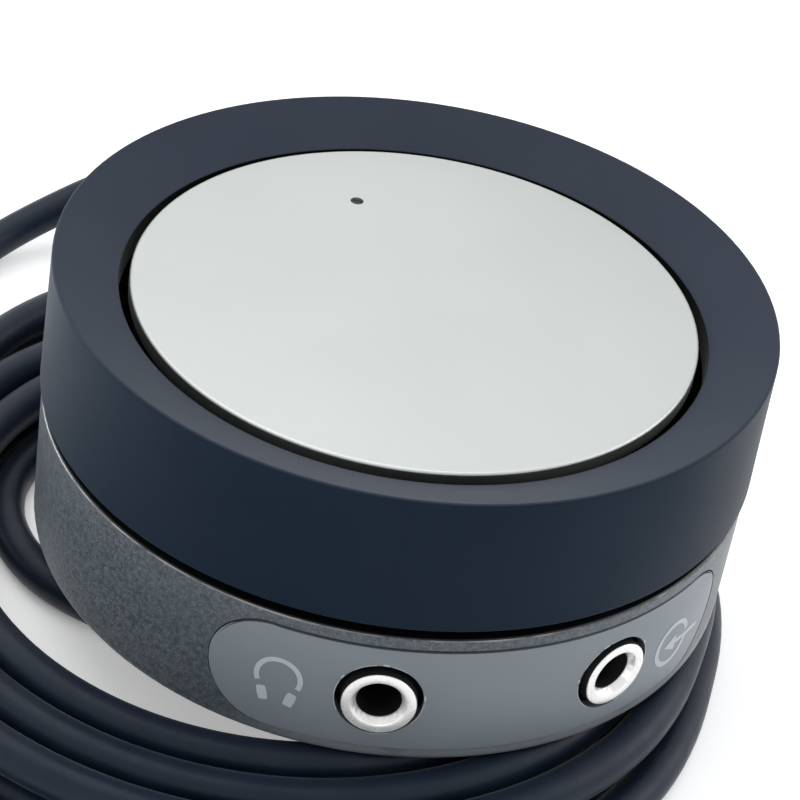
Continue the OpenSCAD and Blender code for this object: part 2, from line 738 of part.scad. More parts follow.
module plug_body() {
  plug_r = plug_d/2;
  waist_r = plug_r - grip_depth;
  color("#1b1d20") at_plug(boot_len) rotate_extrude() polygon(rounded([
    [0, 0, 0], [plug_r, 0, plug_round], [plug_r, grip_back, grip_round],
    [waist_r, grip_back + grip_slope, grip_round], [waist_r, plug_len - grip_front - grip_slope, grip_round],
    [plug_r, plug_len - grip_front, grip_round], [plug_r, plug_len, plug_front_round], [0, plug_len, 0]]));
}

module plug_shell() {
  color("#c8cacc") at_plug(boot_len + plug_len) difference() {
    cylinder(d = shell_d, h = shell_len);
    translate([0, 0, -cut]) cylinder(d = shell_d - 2*shell_wall, h = shell_len + 2*cut);
  }
}

module plug_insert() {
  color("#17181a") at_plug(boot_len + plug_len)
    cylinder(d = shell_d - 2*shell_wall - 2*fit_gap, h = insert_t);
}

module plug_pins() {
  color("#d2b45c") at_plug(boot_len + plug_len + insert_t) for (i = [0:pin_count - 1])
    rotate([0, 0, 360*i/pin_count]) translate([pin_circle_d/2, 0, 0]) cylinder(d = pin_d, h = pin_len);
}

base_shell();
jack_panel();
foot_pad();
ballast_plate();
headphone_jack();
aux_jack();
headphone_bushing();
aux_bushing();
headphone_contacts();
aux_contacts();
main_board();
amplifier_chip();
capacitors();
wire_header();
conductors();
pot_body();
pot_shaft();
drive_pinion();
slip_washer();
gear_ring();
volume_ring();
disc_carrier();
touch_board();
touch_contact();
touch_disc();
status_led();
light_pipe();
carrier_screws();
strain_relief();
cord_lead();
cord_coil();
cord_tail();
plug_boot();
plug_body();
plug_shell();
plug_insert();
plug_pins();
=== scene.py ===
import json
import math

import bmesh
import bpy
from mathutils import Matrix, Vector


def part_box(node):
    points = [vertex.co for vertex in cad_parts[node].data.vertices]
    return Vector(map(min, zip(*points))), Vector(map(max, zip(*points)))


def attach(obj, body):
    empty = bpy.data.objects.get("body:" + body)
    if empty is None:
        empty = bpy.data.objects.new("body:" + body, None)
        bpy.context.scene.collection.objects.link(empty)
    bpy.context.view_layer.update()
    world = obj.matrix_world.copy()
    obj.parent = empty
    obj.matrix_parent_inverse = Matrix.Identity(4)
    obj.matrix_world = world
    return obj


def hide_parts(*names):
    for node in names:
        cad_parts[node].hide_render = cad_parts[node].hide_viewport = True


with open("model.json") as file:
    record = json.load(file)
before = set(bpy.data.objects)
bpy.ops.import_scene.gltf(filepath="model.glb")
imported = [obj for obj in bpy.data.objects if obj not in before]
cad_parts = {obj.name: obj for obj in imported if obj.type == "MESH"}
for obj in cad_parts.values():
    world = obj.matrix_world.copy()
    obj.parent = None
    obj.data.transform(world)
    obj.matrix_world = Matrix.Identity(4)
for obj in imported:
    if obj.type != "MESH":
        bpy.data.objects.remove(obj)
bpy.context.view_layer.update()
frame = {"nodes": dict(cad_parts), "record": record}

nodes = frame["nodes"]
scene = bpy.context.scene
mm = 0.001
print("frame loaded,", len(nodes), "nodes")


# Camera, where the photograph was taken from
cameraSetup = {
    "lens": 112.5,
    "sensor": 36.0,
    "azimuth": -23.5,          # degrees round the pod, 0 looks at the jack panel
    "elevation": 35.17,
    "roll": -9.68,
    "aim": (0, 0, 0.0135),     # middle of the ring's top edge
    "distance": 0.21334,
    "slideRight": 0.00006,     # the camera's own slide across its view
    "slideUp": -0.01061,
    "nearest": 0.01,           # what it sees begins and ends here
    "farthest": 20,
}


def placeCamera(setup):
    turn = math.radians(setup["azimuth"])
    lift = math.radians(setup["elevation"])
    roll = math.radians(setup["roll"])
    back = Vector((math.sin(turn) * math.cos(lift), -math.cos(turn) * math.cos(lift), math.sin(lift)))
    right = Vector((math.cos(turn), math.sin(turn), 0))
    up = back.cross(right)
    data = bpy.data.cameras.new("photoCamera")
    data.lens = setup["lens"]
    data.sensor_width = setup["sensor"]
    data.clip_start = setup["nearest"]
    data.clip_end = setup["farthest"]
    camera = bpy.data.objects.new("photoCamera", data)
    scene.collection.objects.link(camera)
    across = right * math.cos(roll) - up * math.sin(roll)
    over = right * math.sin(roll) + up * math.cos(roll)
    place = Vector(setup["aim"]) + back * setup["distance"] + right * setup["slideRight"] + up * setup["slideUp"]
    axes = Matrix((across, over, back)).transposed()
    camera.matrix_world = Matrix.Translation(place) @ axes.to_4x4()
    scene.camera = camera


placeCamera(cameraSetup)
print("camera placed")


# Cord: lead from the strain relief, two layers of loops under the pod, tail to the plug
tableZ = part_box("cord_coil")[0].z
reliefLow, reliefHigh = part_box("strain_relief")
cordExit = Vector((0, reliefHigh.y, (reliefLow.z + reliefHigh.z) / 2))
cord = {
    "diameter": 0.0036,
    "rest": 0.00144,           # height of its middle where it lies on the table
    "pitch": 0.00415,          # from loop to loop, and from layer to layer
    "coilMiddle": (-0.009, 0.002),
    "turnBackRadius": 0.0256,  # where the lower layer ends and the upper one starts
    "turnBackAngle": -140,
    "turnBackSpan": 0.25,      # it rounds that point and climbs within this much of a turn on either side
    "looseIn": 0.01,           # the innermost loop swings in across the hole this far
    "looseSpan": 0.47,         # over this much of a turn
    "pressedIn": 0.001,        # the outer loops lie this much closer at the front right
    "pressedAngle": -34,
    "pressedNarrow": 28,
    "pressedFrom": 1.7,        # counted in turns from where the coil turns back
    "pressedGrows": 2.0,       # to the full amount over so many turns
    "slackOut": 0.0035,        # one upper loop bulges this much at the left rear
    "slackAt": 2.667,          # counted in turns as well
    "slackSpan": 0.097,
    "loopsLow": 4.175,         # turns in the lower layer and in the upper one
    "loopsUp": 3.375,
    "pointsPerLoop": 36,
    "plugEntry": (0.029, 0.0376, 0.0056),      # where it goes into the plug, up from the table, and the plug's heading
    "plugHeading": 130,
    "lead": [                  # points up from the table
        (-0.0007, 0.053, 0.0134), (-0.0027, 0.0564, 0.0122), (-0.0057, 0.0589, 0.0101), (-0.0095, 0.0603, 0.0078),
        (-0.0135, 0.0605, 0.0059), (-0.0176, 0.0598, 0.0044), (-0.0232, 0.0577, 0.0028), (-0.029, 0.0535, 0.0018),
        (-0.0342, 0.0475, 0.00144), (-0.0386, 0.0404, 0.00144), (-0.0424, 0.033, 0.00144),
    ],
    "tail": [
        (0.0323, 0.0112, 0.0052), (0.0333, 0.0162, 0.0046), (0.0338, 0.0214, 0.0042), (0.0337, 0.026, 0.0043),
        (0.033, 0.0304, 0.0049),
    ],
    "stepsBetween": 4,         # curve points from one point of the route to the next
    "headingStep": 0.01,       # turns either way over which the coil's heading is taken
    "roundness": 7,
}


def onTable(point):
    return Vector((point[0], point[1], tableZ + point[2]))


def smoothStep(value):
    value = min(1.0, max(0.0, value))
    return value * value * (3 - 2 * value)


def coilPoint(turns):
    away = abs(turns)
    ease = cord["turnBackSpan"]
    spread = turns * turns / (2 * ease) + ease / 2 if away < ease else away
    swing = (1 + math.cos(2 * math.pi * turns / cord["looseSpan"])) / 2 if away < cord["looseSpan"] / 2 else 0
    angle = math.radians(cord["turnBackAngle"]) + 2 * math.pi * turns
    pressed = max(0.0, math.cos(angle - math.radians(cord["pressedAngle"]))) ** cord["pressedNarrow"]
    pressed *= min(1.0, max(0.0, (away - cord["pressedFrom"]) / cord["pressedGrows"]))
    slack = min(1.0, abs(turns - cord["slackAt"]) / cord["slackSpan"])
    radius = cord["turnBackRadius"] + cord["pitch"] * spread - cord["looseIn"] * swing - cord["pressedIn"] * pressed
    radius += cord["slackOut"] * math.cos(slack * math.pi / 2) ** 2
    height = cord["rest"] + cord["pitch"] * smoothStep(turns / (2 * ease) + 0.5)
    middle = cord["coilMiddle"]
    return onTable((middle[0] + radius * math.cos(angle), middle[1] + radius * math.sin(angle), height))


def coilHeading(turns):
    step = cord["headingStep"]
    return (coilPoint(turns + step) - coilPoint(turns - step)).normalized()


def throughPoints(points, steps):
    made = []
    for i in range(len(points) - 1):
        before = points[max(i - 1, 0)]
        start, end = points[i], points[i + 1]
        after = points[min(i + 2, len(points) - 1)]
        for k in range(steps):
            t = k / steps
            made.append(0.5 * (2 * start + (end - before) * t + (2 * before - 5 * start + 4 * end - after) * t ** 2
                               + (3 * start - before - 3 * end + after) * t ** 3))
    return made + [points[-1]]


def cordRoute():
    size = cord["diameter"]
    loops = cord["loopsLow"] + cord["loopsUp"]
    count = round(cord["pointsPerLoop"] * loops)
    coil = [coilPoint(loops * i / count - cord["loopsLow"]) for i in range(count + 1)]
    inward = coilHeading(-cord["loopsLow"])
    outward = coilHeading(cord["loopsUp"])
    heading = math.radians(cord["plugHeading"])
    plugAxis = Vector((math.cos(heading), math.sin(heading), 0))
    entry = onTable(cord["plugEntry"])
    lead = [cordExit, cordExit + Vector((0, size, 0))] + [onTable(p) for p in cord["lead"]]
    lead += [coil[0] - inward * size * 2, coil[0] - inward * size]
    tail = [coil[-1] + outward * size] + [onTable(p) for p in cord["tail"]]
    tail += [entry - plugAxis * size, entry]
    return throughPoints(lead + coil + tail, cord["stepsBetween"])


def layCord():
    route = cordRoute()
    data = bpy.data.curves.new("cord", "CURVE")
    data.dimensions = "3D"
    data.bevel_depth = 1.0     # each point's own radius sets the thickness
    data.bevel_resolution = cord["roundness"]
    data.use_fill_caps = True
    spline = data.splines.new("POLY")
    spline.points.add(len(route) - 1)
    for point, place in zip(spline.points, route):
        point.co = (*place, 1)
        point.radius = cord["diameter"] / 2
    spline.use_smooth = True
    piece = bpy.data.objects.new("cord", data)
    scene.collection.objects.link(piece)
    length = sum((b - a).length for a, b in zip(route, route[1:]))
    print("cord laid, %.4f m" % length)
    return piece, length


cordPiece, cordLength = layCord()
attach(cordPiece, "base")
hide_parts("cord_lead", "cord_coil", "cord_tail")


# Node trees: short ways to add, link and combine nodes. A value that is another node's socket becomes a link
mixPlaces = {"share": 0, "under": 6, "over": 7, "mixed": 2}      # the colour sockets of a Mix node


def feed(tree, value, socket):
    if isinstance(value, bpy.types.NodeSocket):
        tree.links.new(value, socket)
    else:
        socket.default_value = value


def addNode(tree, kind, values=None, **settings):
    node = tree.nodes.new(kind)
    for key, value in settings.items():
        setattr(node, key, value)
    for key, value in (values or {}).items():
        feed(tree, value, node.inputs[key])
    return node


def combine(tree, operation, first, second, clamp=False):
    node = addNode(tree, "ShaderNodeMath", {0: first, 1: second}, operation=operation, use_clamp=clamp)
    return node.outputs[0]


def remap(tree, value, ends, interpolation="LINEAR"):
    node = addNode(tree, "ShaderNodeMapRange", {"Value": value, **ends}, interpolation_type=interpolation)
    return node.outputs[0]


def layOver(tree, share, under, over):
    values = {mixPlaces["share"]: share, mixPlaces["under"]: under, mixPlaces["over"]: over}
    return addNode(tree, "ShaderNodeMix", values, data_type="RGBA").outputs[mixPlaces["mixed"]]


# Floor, and a white room that is dimmer towards the front
stageSetup = {
    "floorSize": 6.0,
    "floorColour": (0.86, 0.86, 0.86, 1),
    "floorGlow": 0.36,          # what eyes and mirrors see on top of the light that the floor gets
    "gapDepth": 0.004,          # painted shade: the glow dies in gaps that are closed off within this distance
    "gapShut": 0.12,            # open share of a gap where none of the glow is left
    "gapOpen": 0.4,             # and where all of it is
    "skyTop": 0.92,
    "skyFront": 0.45,
    "skyTopFrom": 0.25,         # how far back a direction points where the sky is brightest
    "skyFrontTo": -0.75,        # and where it is dimmest
    "skyTint": (0.97, 0.985, 1.0, 1),
    "white": (1, 1, 1, 1),
}
lamps = {
    "overhead": {"place": (-0.05, 0.25, 0.7), "size": 0.7, "power": 2.1},
    "rightSide": {"place": (0.7, -0.1, 0.35), "size": 0.5, "power": 1.8},
    "frontLow": {"place": (-0.35, -0.6, 0.08), "size": 0.4, "power": 0.6},
    "leftRear": {"place": (-0.5, 0.48, 0.07), "size": 0.2, "power": 2.4},
}


def seenDirectly(tree):
    path = addNode(tree, "ShaderNodeLightPath").outputs
    seen = combine(tree, "MAXIMUM", path["Is Camera Ray"], path["Is Glossy Ray"])
    return combine(tree, "MAXIMUM", seen, path["Is Transmission Ray"])


def makeFloor():
    half = stageSetup["floorSize"] / 2
    corners = [(-half, -half, tableZ), (half, -half, tableZ), (half, half, tableZ), (-half, half, tableZ)]
    data = bpy.data.meshes.new("floor")
    data.from_pydata(corners, [], [(0, 1, 2, 3)])
    floor = bpy.data.objects.new("floor", data)
    scene.collection.objects.link(floor)
    material = bpy.data.materials.new("floorPaper")
    material.use_nodes = True
    tree = material.node_tree
    tree.nodes.clear()
    # painted shade: ambient occlusion takes the glow away in gaps and under the cord
    openness = addNode(tree, "ShaderNodeAmbientOcclusion", {"Distance": stageSetup["gapDepth"]})
    shine = remap(tree, openness.outputs["AO"], {
        "From Min": stageSetup["gapShut"], "From Max": stageSetup["gapOpen"], "To Max": stageSetup["floorGlow"]})
    strength = combine(tree, "MULTIPLY", seenDirectly(tree), shine)
    glow = addNode(tree, "ShaderNodeEmission", {"Color": stageSetup["white"], "Strength": strength})
    paper = addNode(tree, "ShaderNodeBsdfDiffuse", {"Color": stageSetup["floorColour"]})
    both = addNode(tree, "ShaderNodeAddShader", {0: paper.outputs[0], 1: glow.outputs[0]})
    addNode(tree, "ShaderNodeOutputMaterial", {"Surface": both.outputs[0]})
    data.materials.append(material)


def makeRoom():
    world = bpy.data.worlds.new("whiteRoom")
    scene.world = world
    world.use_nodes = True
    tree = world.node_tree
    tree.nodes.clear()
    direction = addNode(tree, "ShaderNodeTexCoord").outputs["Generated"]
    axes = addNode(tree, "ShaderNodeSeparateXYZ", {0: direction}).outputs
    strength = remap(tree, axes["Y"], {
        "From Min": stageSetup["skyFrontTo"], "From Max": stageSetup["skyTopFrom"],
        "To Min": stageSetup["skyFront"], "To Max": stageSetup["skyTop"]}, interpolation="SMOOTHSTEP")
    sky = addNode(tree, "ShaderNodeBackground", {"Color": stageSetup["skyTint"], "Strength": strength})
    white = addNode(tree, "ShaderNodeBackground", {"Color": stageSetup["white"], "Strength": 1.0})
    mix = addNode(tree, "ShaderNodeMixShader", {0: seenDirectly(tree), 1: sky.outputs[0], 2: white.outputs[0]})
    addNode(tree, "ShaderNodeOutputWorld", {"Surface": mix.outputs[0]})


def hangLamps():
    for name, setup in lamps.items():
        data = bpy.data.lights.new(name, "AREA")
        data.size = setup["size"]
        data.energy = setup["power"]
        lamp = bpy.data.objects.new(name, data)
        lamp.location = setup["place"]
        lamp.rotation_mode = "QUATERNION"
        lamp.rotation_quaternion = (-Vector(setup["place"])).to_track_quat("-Z", "Y")
        scene.collection.objects.link(lamp)


scene.view_settings.view_transform = "Standard"
makeFloor()
makeRoom()
hangLamps()
print("stage lit")


# Surface effects that the finishes share, each a node group
noiseMiddle = {"From Min": 0.3, "From Max": 0.7}       # the part of its range that a noise mostly fills
facingUp = {"From Min": 0.55, "From Max": 0.85}        # painted light lies where a normal points up this much
wearAndHighlightContrast = 4.0
plainGrey = (0.1, 0.1, 0.1, 1)                         # stands in a colour input until a finish sets it


def startGroup(name, inputs, outputs):
    tree = bpy.data.node_groups.new(name, "ShaderNodeTree")
    for label, value in inputs.items():
        kind = "NodeSocketColor" if isinstance(value, tuple) else "NodeSocketFloat"
        tree.interface.new_socket(label, in_out="INPUT", socket_type=kind).default_value = value
    for label, kind in outputs.items():
        tree.interface.new_socket(label, in_out="OUTPUT", socket_type=kind)
    given = tree.nodes.new("NodeGroupInput").outputs
    result = tree.nodes.new("NodeGroupOutput").inputs
    coords = addNode(tree, "ShaderNodeTexCoord").outputs["Object"]
    return tree, given, result, coords


def startLayer(name, inputs):
    return startGroup(name, {**inputs, "Colour": plainGrey}, {"Colour": "NodeSocketColor"})


def noiseAt(tree, coords, scale, detail):
    noise = addNode(tree, "ShaderNodeTexNoise", {"Vector": coords, "Scale": scale, "Detail": detail})
    return noise.outputs["Fac"]


def cellsAt(tree, coords, scale):
    cells = addNode(tree, "ShaderNodeTexVoronoi", {"Vector": coords, "Scale": scale}).outputs
    lot = addNode(tree, "ShaderNodeSeparateColor", {0: cells["Color"]}).outputs[0]     # each cell's own number
    return cells["Distance"], lot


def makeShadeDrift():
    tree, given, result, coords = startGroup(
        "shadeDrift", {"Scale": 100.0, "Dark": plainGrey, "Light": plainGrey}, {"Colour": "NodeSocketColor"})
    share = remap(tree, noiseAt(tree, coords, given["Scale"], detail=3), noiseMiddle)
    feed(tree, layOver(tree, share, given["Dark"], given["Light"]), result["Colour"])


def makeHandSmudge():
    tree, given, result, coords = startGroup(
        "handSmudge", {"Scale": 60.0, "Low": 0.4, "High": 0.5}, {"Roughness": "NodeSocketFloat"})
    ends = {**noiseMiddle, "To Min": given["Low"], "To Max": given["High"]}
    feed(tree, remap(tree, noiseAt(tree, coords, given["Scale"], detail=4), ends), result["Roughness"])


def makeFineGrain():
    tree, given, result, coords = startGroup("fineGrain", {"Scale": 4000.0}, {"Height": "NodeSocketFloat"})
    feed(tree, noiseAt(tree, coords, given["Scale"], detail=2), result["Height"])


def makeMetalFlake():
    tree, given, result, coords = startLayer("metalFlake", {"Scale": 4000.0, "Share": 0.3, "Flake": plainGrey})
    lot = cellsAt(tree, coords, given["Scale"])[1]
    least = combine(tree, "SUBTRACT", 1.0, given["Share"])
    shine = remap(tree, lot, {"From Min": least, "From Max": 1.0})
    feed(tree, layOver(tree, shine, given["Colour"], given["Flake"]), result["Colour"])


def makeLintSpecks():
    tree, given, result, coords = startLayer(
        "lintSpecks", {"Scale": 400.0, "Size": 0.05, "Share": 0.05, "Lint": plainGrey})
    distance, lot = cellsAt(tree, coords, given["Scale"])
    near = combine(tree, "LESS_THAN", distance, given["Size"])
    chosen = combine(tree, "LESS_THAN", lot, given["Share"])
    speck = combine(tree, "MULTIPLY", near, chosen)
    feed(tree, layOver(tree, speck, given["Colour"], given["Lint"]), result["Colour"])


# Wear marks and painted highlights: a lighter band at a height, broken by a noise and faded in from the left
def makeEdgeWearAndHighlight():
    tree, given, result, coords = startLayer(
        "edgeWearAndHighlight", {"Height": 0.0, "Width": 0.0003, "Breakup": 900.0, "Share": 0.3, "None Left Of": -1.0,
                    "Full Right Of": -0.9, "WearAndHighlight": plainGrey})
    axes = addNode(tree, "ShaderNodeSeparateXYZ", {0: coords}).outputs
    above = combine(tree, "SUBTRACT", axes["Z"], given["Height"])
    away = combine(tree, "ABSOLUTE", above, 0.0)
    band = remap(tree, away, {"From Min": 0.0, "From Max": given["Width"], "To Min": 1.0, "To Max": 0.0})
    least = combine(tree, "SUBTRACT", 1.0, given["Share"])
    wearAndHighlightMarks = remap(tree, noiseAt(tree, coords, given["Breakup"], detail=2),
                  {"From Min": least, "From Max": 1.0, "To Max": wearAndHighlightContrast})
    bandShare = combine(tree, "MULTIPLY", band, wearAndHighlightMarks, clamp=True)
    across = remap(tree, axes["X"], {"From Min": given["None Left Of"], "From Max": given["Full Right Of"]},
                   interpolation="SMOOTHSTEP")
    reached = combine(tree, "MULTIPLY", bandShare, across)
    feed(tree, layOver(tree, reached, given["Colour"], given["WearAndHighlight"]), result["Colour"])


# Painted shade: a near-black colour above a height and within a radius, for the gaps and recesses where shade falls
def makePaintedGapShade():
    tree, given, result, coords = startLayer("paintedGapShade", {"Above": 0.0, "Within": 0.03, "ShadeColour": plainGrey})
    axes = addNode(tree, "ShaderNodeSeparateXYZ", {0: coords}).outputs
    flat = addNode(tree, "ShaderNodeVectorMath", {0: coords, 1: (1, 1, 0)}, operation="MULTIPLY")
    radius = addNode(tree, "ShaderNodeVectorMath", {0: flat.outputs["Vector"]}, operation="LENGTH")
    high = combine(tree, "GREATER_THAN", axes["Z"], given["Above"])
    inside = combine(tree, "LESS_THAN", radius.outputs["Value"], given["Within"])
    gapShade = combine(tree, "MULTIPLY", high, inside)
    feed(tree, layOver(tree, gapShade, given["Colour"], given["ShadeColour"]), result["Colour"])


# Painted light: upward faces get a lighter colour, standing in for the stronger light on the top
def makePaintedTopLight():
    tree, given, result, coords = startLayer("paintedTopLight", {"Scale": 300.0, "Weakest": 0.8, "TopLitColour": plainGrey})
    normal = addNode(tree, "ShaderNodeTexCoord").outputs["Normal"]
    axes = addNode(tree, "ShaderNodeSeparateXYZ", {0: normal}).outputs
    upward = remap(tree, axes["Z"], facingUp)
    ends = {**noiseMiddle, "To Min": given["Weakest"], "To Max": 1.0}
    spread = remap(tree, noiseAt(tree, coords, given["Scale"], detail=4), ends)
    topLitShare = combine(tree, "MULTIPLY", upward, spread)
    feed(tree, layOver(tree, topLitShare, given["Colour"], given["TopLitColour"]), result["Colour"])


for makeGroup in (makeShadeDrift, makeHandSmudge, makeFineGrain, makeMetalFlake, makeLintSpecks, makeEdgeWearAndHighlight,
                  makePaintedGapShade, makePaintedTopLight):
    makeGroup()
print("surface effects made")


# Finishes, by the record's material slot, with a few of their own: shades are dark and light ends of a slow drift
finishes = {
    "soft_touch": {
        "shades": ((0.0075, 0.0165, 0.031), (0.0095, 0.0195, 0.035)), "driftScale": 90, "specular": 0.06,
        "sheen": 0.1, "sheenRoughness": 0.34, "roughness": (0.44, 0.54), "smudgeScale": 70, "grain": (5200, 0.01),
        "gapShade": {"Above": 0.0, "Within": 0.0255, "ShadeColour": (0.001, 0.001, 0.0015, 1)},     # painted shade: the wall of the ring's hole made near-black
        # painted light on the ring's upward faces
        "topLight": {"Scale": 120, "Weakest": 0.85, "TopLitColour": (0.034, 0.0425, 0.06, 1)},
        "lint": {"Scale": 260, "Size": 0.05, "Share": 0.025, "Lint": (0.35, 0.36, 0.37, 1)},
    },
    "graphite_paint": {
        "shades": ((0.036, 0.05, 0.061), (0.094, 0.113, 0.128)), "driftScale": 1900, "specular": 0.42,
        "roughness": (0.32, 0.42), "smudgeScale": 160, "grain": (6000, 0.008),
        "flake": {"Scale": 7000, "Share": 0.4, "Flake": (0.135, 0.147, 0.158, 1)},
        # lighter lower rim at the front as painted highlight, a fine light line along the top edge as painted
        # highlight with real wear marks there, and painted shade as a near-black deck and recess inside it
        "rim": {"Height": -0.0123, "Width": 0.0009, "Breakup": 300, "Share": 0.9, "None Left Of": -0.024,
                "Full Right Of": -0.012, "WearAndHighlight": (0.19, 0.205, 0.22, 1)},
        # painted highlight: a fine light line along the top edge
        "line": {"Height": -0.00012, "Width": 0.00012, "Breakup": 260, "Share": 0.56, "WearAndHighlight": (0.34, 0.35, 0.36, 1)},
        "wear": {"Height": -0.0001, "Width": 0.0003, "Breakup": 900, "Share": 0.31, "WearAndHighlight": (0.62, 0.63, 0.64, 1)},
        # painted shade: the deck under the ring and the inside of the base
        "gapShade": {"Above": -0.0001, "Within": 0.03122, "ShadeColour": (0.004, 0.004, 0.005, 1)},
        "recess": {"Above": -0.0124, "Within": 0.03112, "ShadeColour": (0.004, 0.004, 0.005, 1)},
    },
    "panel_grey": {
        "shades": ((0.2, 0.23, 0.256), (0.213, 0.243, 0.27)), "driftScale": 140, "specular": 0.4,
        "roughness": (0.34, 0.42), "smudgeScale": 120, "grain": (5000, 0.003),
    },
    "disc_aluminium": {
        "shades": ((0.515, 0.543, 0.532), (0.533, 0.561, 0.55)), "driftScale": 60, "metallic": 1.0,
        "roughness": (0.4, 0.47), "smudgeScale": 50, "grain": (5600, 0.004),
    },
    "nickel": {
        "shades": ((0.94, 0.935, 0.92), (0.98, 0.975, 0.965)), "driftScale": 500, "metallic": 0.45,
        "roughness": (0.22, 0.32), "smudgeScale": 700, "grain": (2500, 0.003),
    },
    "cord_jacket": {
        "shades": ((0.006, 0.0125, 0.026), (0.009, 0.0165, 0.0315)), "driftScale": 300, "specular": 0.2,
        "sheen": 0.12, "sheenRoughness": 0.3, "roughness": (0.36, 0.48), "smudgeScale": 400, "grain": (3400, 0.016),
        "lint": {"Scale": 330, "Size": 0.06, "Share": 0.02, "Lint": (0.4, 0.41, 0.42, 1)},
    },
    "black_plastic": {
        "shades": ((0.005, 0.0055, 0.0065), (0.0085, 0.009, 0.01)), "driftScale": 300, "specular": 0.16,
        "roughness": (0.45, 0.6), "smudgeScale": 260, "grain": (3000, 0.02),
    },
    # painted shade: the gear ring made near-black so the gap round the disc reads as shaded
    "gear_painted_shade": {
        "shades": ((0.001, 0.001, 0.0013), (0.002, 0.002, 0.0024)), "driftScale": 300, "specular": 0.02,
        "roughness": (0.6, 0.75), "smudgeScale": 260, "grain": (3000, 0.02),
    },
    "pad_rubber": {
        "shades": ((0.018, 0.018, 0.02), (0.026, 0.026, 0.028)), "driftScale": 200, "specular": 0.2,
        "roughness": (0.7, 0.82), "smudgeScale": 180, "grain": (1800, 0.05),
        "lint": {"Scale": 500, "Size": 0.08, "Share": 0.06, "Lint": (0.2, 0.2, 0.2, 1)},
    },
    "plain_steel": {
        "shades": ((0.5, 0.51, 0.52), (0.58, 0.59, 0.6)), "driftScale": 300, "metallic": 1.0,
        "roughness": (0.3, 0.45), "smudgeScale": 200, "grain": (2600, 0.01),
    },
    "contact_brass": {
        "shades": ((0.72, 0.56, 0.26), (0.8, 0.65, 0.34)), "driftScale": 800, "metallic": 1.0,
        "roughness": (0.22, 0.36), "smudgeScale": 600, "grain": (3000, 0.006),
    },
    "board_green": {
        "shades": ((0.012, 0.1, 0.045), (0.02, 0.17, 0.075)), "driftScale": 900, "specular": 0.45,
        "roughness": (0.28, 0.4), "smudgeScale": 300, "grain": (1600, 0.02),
        "lint": {"Scale": 420, "Size": 0.16, "Share": 0.3, "Lint": (0.6, 0.58, 0.5, 1)},
    },
    "capacitor_sleeve": {
        "shades": ((0.02, 0.035, 0.075), (0.03, 0.05, 0.1)), "driftScale": 400, "specular": 0.4,
        "roughness": (0.28, 0.38), "smudgeScale": 300, "grain": (2000, 0.01),
    },
    "white_plastic": {
        "shades": ((0.7, 0.68, 0.63), (0.77, 0.76, 0.71)), "driftScale": 300, "specular": 0.4,
        "roughness": (0.38, 0.5), "smudgeScale": 300, "grain": (2600, 0.01),
    },
    "wire_insulation": {
        "shades": ((0.28, 0.03, 0.022), (0.4, 0.06, 0.04)), "driftScale": 420, "specular": 0.4,
        "roughness": (0.34, 0.46), "smudgeScale": 500, "grain": (3000, 0.01),
    },
    "pot_case": {
        "shades": ((0.035, 0.11, 0.19), (0.05, 0.15, 0.26)), "driftScale": 260, "specular": 0.4,
        "roughness": (0.35, 0.48), "smudgeScale": 260, "grain": (2600, 0.012),
    },
    "clear_plastic": {
        "shades": ((0.02, 0.022, 0.024), (0.03, 0.033, 0.036)), "driftScale": 600, "specular": 0.4,
        "roughness": (0.2, 0.3), "smudgeScale": 600, "grain": (2600, 0.004),
    },
    # used for print and for the light arcs round the holes, which are partly painted highlight
    "printWearAndHighlight": {
        "shades": ((0.47, 0.505, 0.53), (0.5, 0.535, 0.56)), "driftScale": 900, "specular": 0.3,
        "roughness": (0.42, 0.52), "smudgeScale": 700, "grain": (5000, 0.006),
    },
}
ownFinish = {"gear_ring": "gear_painted_shade"}                # painted shade: near-black, darker than its slot's look, so the gap it sits in reads as shaded
colourLayers = {                                       # the effects that colour a finish, from the lowest up
    "flake": "metalFlake", "rim": "edgeWearAndHighlight", "line": "edgeWearAndHighlight", "wear": "edgeWearAndHighlight", "gapShade": "paintedGapShade",
    "recess": "paintedGapShade", "topLight": "paintedTopLight", "lint": "lintSpecks",
}


def addGroup(tree, name, values):
    return addNode(tree, "ShaderNodeGroup", values, node_tree=bpy.data.node_groups[name])


def makeFinish(name, look):
    material = bpy.data.materials.new(name)
    material.use_nodes = True
    tree = material.node_tree
    shader = tree.nodes["Principled BSDF"]
    shader.inputs["Metallic"].default_value = look.get("metallic", 0.0)
    shader.inputs["Specular IOR Level"].default_value = look.get("specular", 0.5)
    shader.inputs["Sheen Weight"].default_value = look.get("sheen", 0.0)
    shader.inputs["Sheen Roughness"].default_value = look.get("sheenRoughness", 0.5)
    dark, light = look["shades"]
    drift = addGroup(tree, "shadeDrift", {"Scale": look["driftScale"], "Dark": (*dark, 1), "Light": (*light, 1)})
    colour = drift.outputs["Colour"]
    for effect, group in colourLayers.items():
        if effect in look:
            colour = addGroup(tree, group, {**look[effect], "Colour": colour}).outputs["Colour"]
    low, high = look["roughness"]
    smudge = addGroup(tree, "handSmudge", {"Scale": look["smudgeScale"], "Low": low, "High": high})
    scale, depth = look["grain"]                       # depth in millimetres
    grain = addGroup(tree, "fineGrain", {"Scale": scale}).outputs["Height"]
    bump = addNode(tree, "ShaderNodeBump", {"Strength": 1.0, "Distance": depth * mm, "Height": grain})
    feed(tree, colour, shader.inputs["Base Color"])
    feed(tree, smudge.outputs["Roughness"], shader.inputs["Roughness"])
    feed(tree, bump.outputs[0], shader.inputs["Normal"])
    return material


materials = {name: makeFinish(name, look) for name, look in finishes.items()}
for entry in frame["record"]["subparts"]:
    piece = nodes[entry["node"]]
    piece.data.materials.clear()
    piece.data.materials.append(materials[ownFinish.get(entry["node"], entry["material_slot"])])
cordPiece.data.materials.append(materials["cord_jacket"])
print("finishes made,", len(materials))


